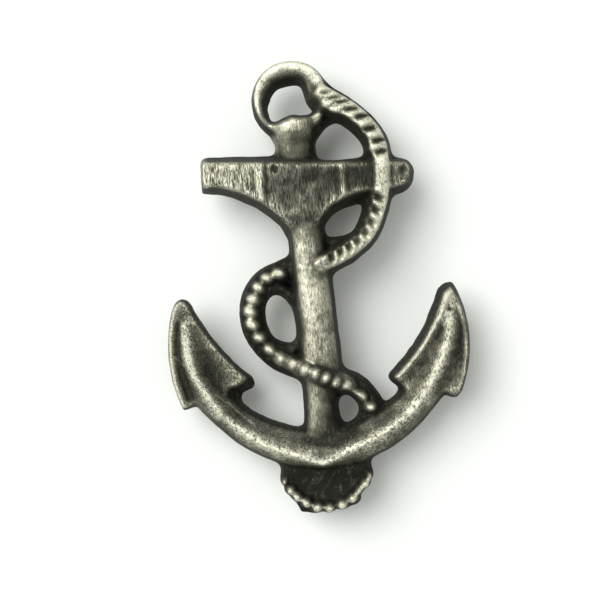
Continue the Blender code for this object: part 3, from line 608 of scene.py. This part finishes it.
# How worn the silver is: crests are polished, and hollows, walls and low ground keep the black. Painted
# shade and painted light are added to it too: the spots below, and the lighter walls that look left.
PLAIN_WEAR = 0.3
MEMBER_WEAR = {
    "shackle_ring": 0.08, "upper_rope": 0.16, "lower_rope": 0.34, "crown_rope": 0.6, "crown_arms": -0.05,
    "anchor_shank": 0.06, "stock": -0.02}
# Spots of darker or brighter metal. Some are tarnish and wear. Many are painted shade where less light
# falls: the shank's top under the stock, the shank's right side, the stock's middle and dished right end,
# the neck and the right fluke's outer side. A few are painted light on sides turned to the light, such as
# the shank's left side.
TARNISH_AND_PAINTED_LIGHT = (     # centre, radii and how much brighter or darker
    (0.9, 6.9, 2.6, 1.7, -0.25), (3.7, 6.6, 1.1, 1.4, -0.32), (-4.3, 7.8, 1.8, 1.2, 0.06),
    (0.85, -7.3, 0.85, 1.8, -0.55), (0.3, -9.1, 2.6, 0.7, -0.2), (-5.4, -7.2, 1.3, 0.8, -0.16),
    (9.15, -4.2, 0.5, 2.6, -0.26), (-6.2, -3.9, 1.1, 1.5, -0.16), (-0.35, -0.5, 0.5, 3.6, 0.08),
    (6.75, 6.6, 0.7, 0.9, -0.38), (-0.4, 13.9, 1.9, 0.6, 0.36), (-2.0, 11.8, 0.6, 1.4, -0.08),
    (-8.1, -0.05, 0.5, 0.6, 0.24), (5.15, 7.0, 0.6, 1.1, 0.15), (8.45, -2.05, 0.11, 0.08, -1.2),
    (8.55, -1.2, 0.4, 0.5, 0.12), (8.75, -6.6, 0.5, 0.9, -0.22), (7.9, -3.6, 0.5, 1.2, -0.1),
    (0.2, 9.7, 1.2, 0.9, -0.06), (0.1, 3.5, 1.4, 1.2, -0.2), (4.6, -8.4, 2.2, 1.2, -0.08),
    (1.15, -1.5, 0.4, 4.5, -0.14), (0.5, 9.4, 0.9, 0.9, -0.1), (-2.4, -11.7, 0.5, 0.6, 0.3))
raised_height = np.maximum(solid_height, LOW_GROUND)
crest_small = raised_height - blur(raised_height, 0.25)
crest_wide = raised_height - blur(raised_height, 0.7)
bonus = np.array([MEMBER_WEAR.get(member, 0.0) for member in MEMBERS])[owner]
wear_and_shade_map = PLAIN_WEAR + 0.95 * crest_small + 0.45 * crest_wide + blur(bonus, 0.12)
# Adds the spots: tarnish and wear, with painted shade and painted light.
for cx, cy, rx, ry, amount in TARNISH_AND_PAINTED_LIGHT:
    wear_and_shade_map = wear_and_shade_map + amount * np.exp(-((X - cx) / rx) ** 2 - ((Y - cy) / ry) ** 2)
for route, half, amount, _ in MARKS:
    wear_and_shade_map = wear_and_shade_map + amount * mark(route, half)
wear_and_shade_map = wear_and_shade_map - 0.6 * rope_cuts(*leaned("upper_rope"))
between_beads = (owner == list(MEMBERS).index("lower_rope")) * (1 - rope_beads(X, Y)) * crossing_lift(X, Y)
wear_and_shade_map = wear_and_shade_map - 0.5 * blur(between_beads, 0.06)
wear_and_shade_map = wear_and_shade_map + 0.1 * noise(X, Y, 0.9, 61) + 0.07 * noise(X, Y, 0.4, 62)
wear_and_shade_map = wear_and_shade_map + 4.0 * np.minimum(raised_height - blur(raised_height, 0.12), 0)
exposed = smooth_step(facing, 0.2, 0.52)
# Walls that look left are painted lighter, high on the anchor and on the left fluke, but not in the
# openings: painted light from the left and a painted reflection of the lit table.
painted_light_on_left_walls = np.clip(-side_x, 0, 1) * np.maximum(smooth_step(Y, 6.0, 8.0), smooth_step(-X, 6.5, 8.5))
wall_patina_and_painted_light = 0.05 + 0.32 * painted_light_on_left_walls * smooth_step(hole_wall, 0.9, 1.2)
above_low_ground = smooth_step(relief, LOW_GROUND, LOW_GROUND + 0.4)
low_wear = 0.02 + 0.04 * noise(X, Y, 0.3, 63) + 0.05 * noise(X, Y, 0.12, 64)
wear_and_shade_map = np.clip(wear_and_shade_map, 0.05, 1) * above_low_ground + low_wear * (1 - above_low_ground)
wear_and_shade_map = wear_and_shade_map * exposed + wall_patina_and_painted_light * (1 - exposed)


# ---- Surfaces from lattice fields ----------------------------------------------------------------

CORNERS = np.array([(i, j, k) for i in (0, 1) for j in (0, 1) for k in (0, 1)])
EDGES = [(a, b) for a in range(8) for b in range(a + 1, 8) if np.abs(CORNERS[a] - CORNERS[b]).sum() == 1]


def surface_net(field, low):
    """Points and quads of the surface where the field is 0. low is the field's first lattice point."""
    negative = field < 0
    packed = negative.astype(np.int8)
    count = sum(packed[i:packed.shape[0] - 1 + i, j:packed.shape[1] - 1 + j, k:packed.shape[2] - 1 + k]
                for i, j, k in CORNERS)
    cells = np.argwhere((count > 0) & (count < 8))
    values = [field[tuple((cells + c).T)] for c in CORNERS]
    total, crossings = np.zeros((len(cells), 3)), np.zeros(len(cells))
    for a, b in EDGES:
        crossed = (values[a] < 0) != (values[b] < 0)
        span = np.where(crossed, values[a] - values[b], 1.0)
        t = np.where(crossed, values[a] / span, 0.0)
        point = CORNERS[a] + t[:, None] * (CORNERS[b] - CORNERS[a])
        total += point * crossed[:, None]
        crossings += crossed
    points = np.asarray(low) + (cells + total / crossings[:, None]) * CELL
    point_of_cell = np.full(count.shape, -1, np.int64)
    point_of_cell[tuple(cells.T)] = np.arange(len(cells))
    quads = []
    for axis in range(3):
        one, other = (axis + 1) % 3, (axis + 2) % 3
        first = np.take(negative, np.arange(negative.shape[axis] - 1), axis)
        second = np.take(negative, np.arange(1, negative.shape[axis]), axis)
        edges = np.argwhere(first != second)
        keep = (edges[:, one] > 0) & (edges[:, other] > 0)
        keep &= (edges[:, one] < negative.shape[one] - 1) & (edges[:, other] < negative.shape[other] - 1)
        edges = edges[keep]
        leaving = first[tuple(edges.T)]
        step_one, step_other = np.eye(3, dtype=int)[one], np.eye(3, dtype=int)[other]
        ring = [edges - step_one - step_other, edges - step_other, edges, edges - step_one]
        ids = np.stack([point_of_cell[tuple(r.T)] for r in ring], axis=1)
        quads.append(np.where(leaving[:, None], ids, ids[:, ::-1]))
    return points, np.vstack(quads)


def distance_outside(mask, reach):
    """Distance from each lattice point to the mask, up to reach cells."""
    distance = np.full(mask.shape, (reach + 1) * CELL)
    padded = np.pad(mask, reach)
    for i in range(-reach, reach + 1):
        for j in range(-reach, reach + 1):
            shifted = padded[reach + i:reach + i + mask.shape[0], reach + j:reach + j + mask.shape[1]]
            distance = np.where(shifted, np.minimum(distance, math.hypot(i, j) * CELL), distance)
    return distance


def sample(values, points):
    """Bilinear values of a lattice map at points."""
    u = np.clip((points[:, 0] - columns[0]) / CELL, 0, len(columns) - 1.001)
    v = np.clip((points[:, 1] - rows[0]) / CELL, 0, len(rows) - 1.001)
    i, j = u.astype(int), v.astype(int)
    u, v = u - i, v - j
    low = values[i, j] * (1 - u) + values[i + 1, j] * u
    high = values[i, j + 1] * (1 - u) + values[i + 1, j + 1] * u
    return low * (1 - v) + high * v


def make_object(name, points, quads, normals, wear_and_shade, material):
    """An object from points in millimetres, with its wear and its painted shade and light stored for the
    material to read.
    """
    mesh = bpy.data.meshes.new(name)
    mesh.vertices.add(len(points))
    mesh.vertices.foreach_set("co", (points * MM).astype(np.float32).ravel())
    mesh.loops.add(quads.size)
    mesh.loops.foreach_set("vertex_index", quads.astype(np.int32).ravel())
    mesh.polygons.add(len(quads))
    mesh.polygons.foreach_set("loop_start", np.arange(0, quads.size, 4, dtype=np.int32))
    mesh.polygons.foreach_set("use_smooth", np.ones(len(quads), bool))
    mesh.update(calc_edges=True)
    mesh.validate()
    layer = mesh.attributes.new("wear_and_shade", "FLOAT", "POINT")
    layer.data.foreach_set("value", wear_and_shade.astype(np.float32))
    if normals is not None:
        mesh.normals_split_custom_set_from_vertices(normals.astype(np.float32))
    mesh.materials.append(material)
    obj = bpy.data.objects.new(name, mesh)
    bpy.context.scene.collection.objects.link(obj)
    return obj


MARGIN_CELLS = 6        # how far round a piece the distance to it is worked out
KEPT_MARGIN = 0.3       # and how far its lattice window reaches
UNDERLAP = 0.07         # how far a piece runs on under its neighbours
SEAM_DIP = 0.006        # how far below a neighbour's top it does that
BACK_WEAR = 0.35


def casting_piece(name, index, material):
    """The part of the casting that shows as one member."""
    mine = (owner == index) & (footprint < 0.1)
    outside = distance_outside(mine, MARGIN_CELLS)
    used = np.argwhere(outside < KEPT_MARGIN)
    (i0, j0), (i1, j1) = used.min(0) - 2, used.max(0) + 3
    window = (slice(max(i0, 0), i1), slice(max(j0, 0), j1))
    away = outside[window]
    dip = SEAM_DIP * smooth_step(away, 0.0, 0.03) + 4.0 * np.clip(away - UNDERLAP, 0, None)
    top = relief[window] - dip
    levels = np.arange(round(-0.3 / CELL), round((top.max() + 0.3) / CELL)) * CELL + CELL / 2
    z = levels[None, None, :]
    field = (z - top[:, :, None]) / steepness[window][:, :, None]
    field = np.maximum(field, (footprint[window] + 0.3 * away)[:, :, None])
    wavy = 0.02 * noise(X[window], Y[window], 2.2, 21) + 0.006 * noise(X[window], Y[window], 0.5, 22)
    field = np.maximum(field, (0.8 * away + wavy)[:, :, None] - z)
    low = (X[window][0, 0], Y[window][0, 0], levels[0])
    points, quads = surface_net(field, low)

    height = points[:, 2]
    to_top = (height - sample(relief, points)) / sample(steepness, points)
    to_side = sample(footprint, points)
    upward = np.stack([-sample(slope_x, points), -sample(slope_y, points), np.ones(len(points))], axis=1)
    sideways = np.stack([sample(side_x, points), sample(side_y, points), np.zeros(len(points))], axis=1)
    upward /= np.linalg.norm(upward, axis=1, keepdims=True)
    sideways /= np.maximum(np.linalg.norm(sideways, axis=1, keepdims=True), 1e-6)
    on_side = smooth_step(to_side - to_top, -0.03, 0.03)[:, None]
    on_back = smooth_step(-height, -0.05, -0.01)[:, None]
    normals = upward * (1 - on_side) + sideways * on_side
    normals = normals * (1 - on_back) + np.array([0.0, 0.0, -1.0]) * on_back
    normals /= np.maximum(np.linalg.norm(normals, axis=1, keepdims=True), 1e-6)

    # Wear with painted shade and painted light, taken from the lattice map.
    wear_and_shade_values = sample(wear_and_shade_map, points)
    wear_and_shade_values = wear_and_shade_values * (1 - on_back[:, 0]) + BACK_WEAR * on_back[:, 0]
    return make_object(name, points, quads, normals, wear_and_shade_values, material)


# ---- Finish --------------------------------------------------------------------------------------

class Graph:
    """A short way to write a shader."""

    def __init__(self, material):
        material.use_nodes = True
        self.tree = material.node_tree
        self.tree.nodes.clear()

    def node(self, kind, inputs=(), **settings):
        made = self.tree.nodes.new(kind)
        for key, value in settings.items():
            setattr(made, key, value)
        for key, value in dict(inputs).items():
            if isinstance(value, bpy.types.NodeSocket):
                self.tree.links.new(value, made.inputs[key])
            else:
                made.inputs[key].default_value = value
        return made

    def math(self, operation, a, b=0.0, c=0.0):
        return self.node("ShaderNodeMath", {0: a, 1: b, 2: c}, operation=operation).outputs[0]

    def remap(self, value, low, high, to_low=0.0, to_high=1.0):
        inputs = {"Value": value, "From Min": low, "From Max": high, "To Min": to_low, "To Max": to_high}
        return self.node("ShaderNodeMapRange", inputs).outputs["Result"]

    def noise(self, place, scale, detail, rough, stretch=(1, 1, 1), turn=0.0):
        moved = {"Vector": place, "Rotation": (0, 0, turn), "Scale": stretch}
        place = self.node("ShaderNodeMapping", moved).outputs[0]
        inputs = {"Vector": place, "Scale": scale, "Detail": detail, "Roughness": rough}
        return self.node("ShaderNodeTexNoise", inputs).outputs["Fac"]

    def mix(self, fac, a, b):
        made = self.node("ShaderNodeMix", {"Factor": fac}, data_type="RGBA")
        for socket, value in ((made.inputs[6], a), (made.inputs[7], b)):
            if isinstance(value, bpy.types.NodeSocket):
                self.tree.links.new(value, socket)
            else:
                socket.default_value = value
        return made.outputs[2]


PATINA = (0.010, 0.010, 0.0075, 1)
GREY = (0.14, 0.138, 0.1, 1)
SILVER = (0.68, 0.67, 0.535, 1)
TABLE_COLOUR = (0.6, 0.616, 0.592, 1)
BRUSH_SCALE, BLOTCH_SCALE, SCRATCH_SCALE = 9500.0, 2200.0, 9000.0       # noise cells to a metre
SCRATCH_STRETCH, SCRATCH_TURN = (1.0, 0.035, 1.0), math.radians(-24)
BUMP_HEIGHT = 0.06 * MM


def antique_silver(name, streak, turn, speckle):
    """Worn silver on crests, grey on plain faces, black in the hollows. The level it reads also carries
    painted shade and painted light.

    The streaks are stretched by streak and turned by turn, and speckle is their strength.
    """
    material = bpy.data.materials.new(name)
    g = Graph(material)
    place = g.node("ShaderNodeTexCoord").outputs["Object"]
    # Reads wear with the painted shade and painted light added to it.
    wear_and_shade = g.node("ShaderNodeAttribute", attribute_name="wear_and_shade").outputs["Fac"]
    fine = g.remap(g.noise(place, BRUSH_SCALE, 4.0, 0.75, streak, turn), 0.33, 0.67, -1.0, 1.0)
    coarse = g.remap(g.noise(place, BLOTCH_SCALE, 3.0, 0.65), 0.33, 0.67, -1.0, 1.0)
    scratch = g.noise(place, SCRATCH_SCALE, 1.0, 0.5, SCRATCH_STRETCH, SCRATCH_TURN)
    flecks = g.math("MULTIPLY_ADD", fine, speckle, 1.0)
    flecks = g.math("MULTIPLY_ADD", coarse, 0.2, flecks)
    level = g.math("MULTIPLY", wear_and_shade, flecks)
    level = g.math("MULTIPLY_ADD", g.remap(scratch, 0.68, 0.74), 0.15, level)
    colour = g.mix(g.remap(level, 0.03, 0.34), PATINA, GREY)
    colour = g.mix(g.remap(level, 0.3, 0.85), colour, SILVER)
    bump = g.node("ShaderNodeBump", {"Height": level, "Strength": 0.5, "Distance": BUMP_HEIGHT}).outputs[0]
    shader = g.node("ShaderNodeBsdfPrincipled", {
        "Base Color": colour, "Metallic": g.remap(level, 0.05, 0.35, 0.1, 0.95),
        "Roughness": g.remap(level, 0.05, 0.9, 0.65, 0.4), "Normal": bump,
        "Specular IOR Level": g.remap(level, 0.03, 0.4, 0.08, 0.4)})
    g.node("ShaderNodeOutputMaterial", {"Surface": shader.outputs[0]})
    return material


def plain_table():
    material = bpy.data.materials.new("table")
    g = Graph(material)
    shader = g.node("ShaderNodeBsdfPrincipled", {"Base Color": TABLE_COLOUR, "Roughness": 0.9})
    g.node("ShaderNodeOutputMaterial", {"Surface": shader.outputs[0]})
    return material


BRUSHED = {     # how the brush marks are stretched and turned, and how strong they are
    "stock": ((1.5, 0.22, 1.0), 0.0, 1.25), "anchor_shank": ((1.3, 0.3, 1.0), -0.15, 0.5),
    "shackle_ring": ((1.0, 0.7, 1.0), 0.0, 0.5), "upper_rope": ((1.0, 0.7, 1.0), 0.0, 0.65),
    "crown_arms": ((0.7, 0.6, 1.0), 0.6, 0.8), "right_fluke": ((1.2, 0.45, 1.0), -0.7, 0.85),
    "left_fluke": ((1.0, 0.8, 1.0), 0.0, 1.0)}
PLAIN_BRUSH = ((1.0, 0.7, 1.0), 0.0, 0.7)
WIRE_BRUSH = ((1.0, 1.0, 0.4), 0.0, 0.25)
SOLDER_BRUSH = ((1.0, 1.0, 1.0), 0.0, 0.25)

shown = {}
for index, member in enumerate(MEMBERS):
    silver = antique_silver(member, *BRUSHED.get(member, PLAIN_BRUSH))
    shown[member] = casting_piece(member + "_cast", index, silver)


# ---- The loop behind, soft-soldered to the casting -----------------------------------------------

def lattice(low, high):
    """Lattice points round a box, and the first of them."""
    axes = [np.arange(math.floor(a / CELL) - 2, math.ceil(b / CELL) + 3) * CELL for a, b in zip(low, high)]
    return np.meshgrid(*axes, indexing="ij"), [a[0] for a in axes]


def wire_distance(x, y, z):
    """Distance to the surface of the bent wire."""
    bend = -LOOP_GAP - LOOP_LEG
    across = x - LOOP_CENTRE_X
    leg = np.hypot(across, np.abs(y) - LOOP_RADIUS)
    bow = np.hypot(across, np.hypot(y, z - bend) - LOOP_RADIUS)
    body = np.where(z > bend, leg, bow) - LOOP_WIRE_RADIUS
    return np.maximum(body, z + LOOP_GAP)


def loop_piece():
    half_span = LOOP_RADIUS + LOOP_WIRE_RADIUS
    (x, y, z), low = lattice((LOOP_CENTRE_X - LOOP_WIRE_RADIUS, -half_span, TABLE_Z),
                             (LOOP_CENTRE_X + LOOP_WIRE_RADIUS, half_span, 0.0))
    field = wire_distance(x, y, z) + 0.008 * noise(y + z, x * 3 + z, 0.5, 31)
    points, quads = surface_net(field, low)
    wear_and_shade_values = 0.55 + 0.1 * noise(points[:, 1], points[:, 2], 0.8, 32)
    return make_object("sewing_loop_wire", points, quads, None, wear_and_shade_values, antique_silver("wire", *WIRE_BRUSH))


def solder_piece(name, side):
    """The collar of solder round one end of the wire: wide at the casting and drawn in along the wire."""
    centre = (LOOP_CENTRE_X, side * LOOP_RADIUS)
    room = SOLDER_RADIUS + 0.32         # the rim is uneven
    (x, y, z), first = lattice((centre[0] - room, centre[1] - room, -SOLDER_HEIGHT - 0.1),
                               (centre[0] + room, centre[1] + room, 0.1))
    down = np.clip(-z / SOLDER_HEIGHT, 0, 1)
    rim = SOLDER_RADIUS + 0.05 * noise(x, y, 0.6, 41 + side)
    drawn_in = np.sqrt(np.clip(1 - (1 - down) ** 2, 0, 1))
    flare = LOOP_WIRE_RADIUS + 0.04 + (rim - LOOP_WIRE_RADIUS) * (1 - drawn_in)
    radius = np.hypot(x - centre[0], y - centre[1])
    field = np.maximum(radius - flare, np.maximum(z + 0.03, -z - SOLDER_HEIGHT))
    points, quads = surface_net(field, first)
    wear_and_shade_values = 0.48 + 0.15 * noise(points[:, 0], points[:, 1], 0.5, 43)
    return make_object(name, points, quads, None, wear_and_shade_values, antique_silver(name, *SOLDER_BRUSH))


shown["sewing_loop"] = loop_piece()
shown["solder_fillet_upper"] = solder_piece("solder_upper", 1)
shown["solder_fillet_lower"] = solder_piece("solder_lower", -1)

for node, piece in shown.items():
    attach(piece, "root")
    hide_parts(node)


# ---- Table, light and camera ---------------------------------------------------------------------

TABLE_HALF = 1500 * MM
table_mesh = bpy.data.meshes.new("table")
table_corners = [(x * TABLE_HALF, y * TABLE_HALF, 0) for x, y in ((-1, -1), (1, -1), (1, 1), (-1, 1))]
table_mesh.from_pydata(table_corners, [], [(0, 1, 2, 3)])
table_mesh.materials.append(plain_table())
table = bpy.data.objects.new("table", table_mesh)
table.location.z = TABLE_Z * MM
bpy.context.scene.collection.objects.link(table)

scene = bpy.context.scene
scene.view_settings.view_transform = "Standard"

KEY_PLACE = Vector((-175, 150, 320))        # to the upper left, like the photograph's highlights
KEY_SIZE = 250
KEY_WATTS = 1.3

light = bpy.data.lights.new("key", "AREA")
light.shape = "SQUARE"
light.size = KEY_SIZE * MM
light.energy = KEY_WATTS
lamp = bpy.data.objects.new("key", light)
lamp.location = KEY_PLACE * MM
lamp.rotation_euler = (-KEY_PLACE).to_track_quat("-Z", "Y").to_euler()
scene.collection.objects.link(lamp)

# The room is dark low down and bright above, with a soft window to the upper left, a dimmer patch
# where the camera is, and a pale horizon.
WINDOW = (-0.46, 0.4, 0.793)

world = bpy.data.worlds.new("room")
scene.world = world
g = Graph(world)
direction = g.node("ShaderNodeTexCoord").outputs["Generated"]
up = g.node("ShaderNodeSeparateXYZ", {0: direction}).outputs["Z"]
facing_window = g.node("ShaderNodeVectorMath", {0: direction, 1: WINDOW}, operation="DOT_PRODUCT")
overhead = g.remap(up, 0.35, 0.72, 0.05, 1.2)
camera_patch = g.remap(up, 0.88, 1.0, 0.0, 0.9)
horizon = g.remap(up, 0.13, 0.28, 0.75, 0.0)
window_glow = g.remap(facing_window.outputs["Value"], 0.78, 0.97, 0.0, 2.15)
sky = g.math("SUBTRACT", overhead, camera_patch)
sky = g.math("ADD", sky, horizon)
strength = g.math("ADD", sky, window_glow)
backdrop = g.node("ShaderNodeBackground", {"Strength": strength, "Color": (1.0, 1.0, 0.995, 1)})
g.node("ShaderNodeOutputWorld", {"Surface": backdrop.outputs[0]})

camera = bpy.data.cameras.new("camera")
camera.sensor_width = 36
camera.lens = camera.sensor_width * CAMERA_DISTANCE / PHOTO_WIDTH
camera.clip_start, camera.clip_end = 0.001, 10.0
eye = bpy.data.objects.new("camera", camera)
eye_place = Matrix.Translation([AIM[0] * MM, AIM[1] * MM, (AIM[2] + CAMERA_DISTANCE) * MM])
eye.matrix_world = eye_place @ Matrix.Rotation(PHOTO_TURN, 4, "Z")
scene.collection.objects.link(eye)
scene.camera = eye
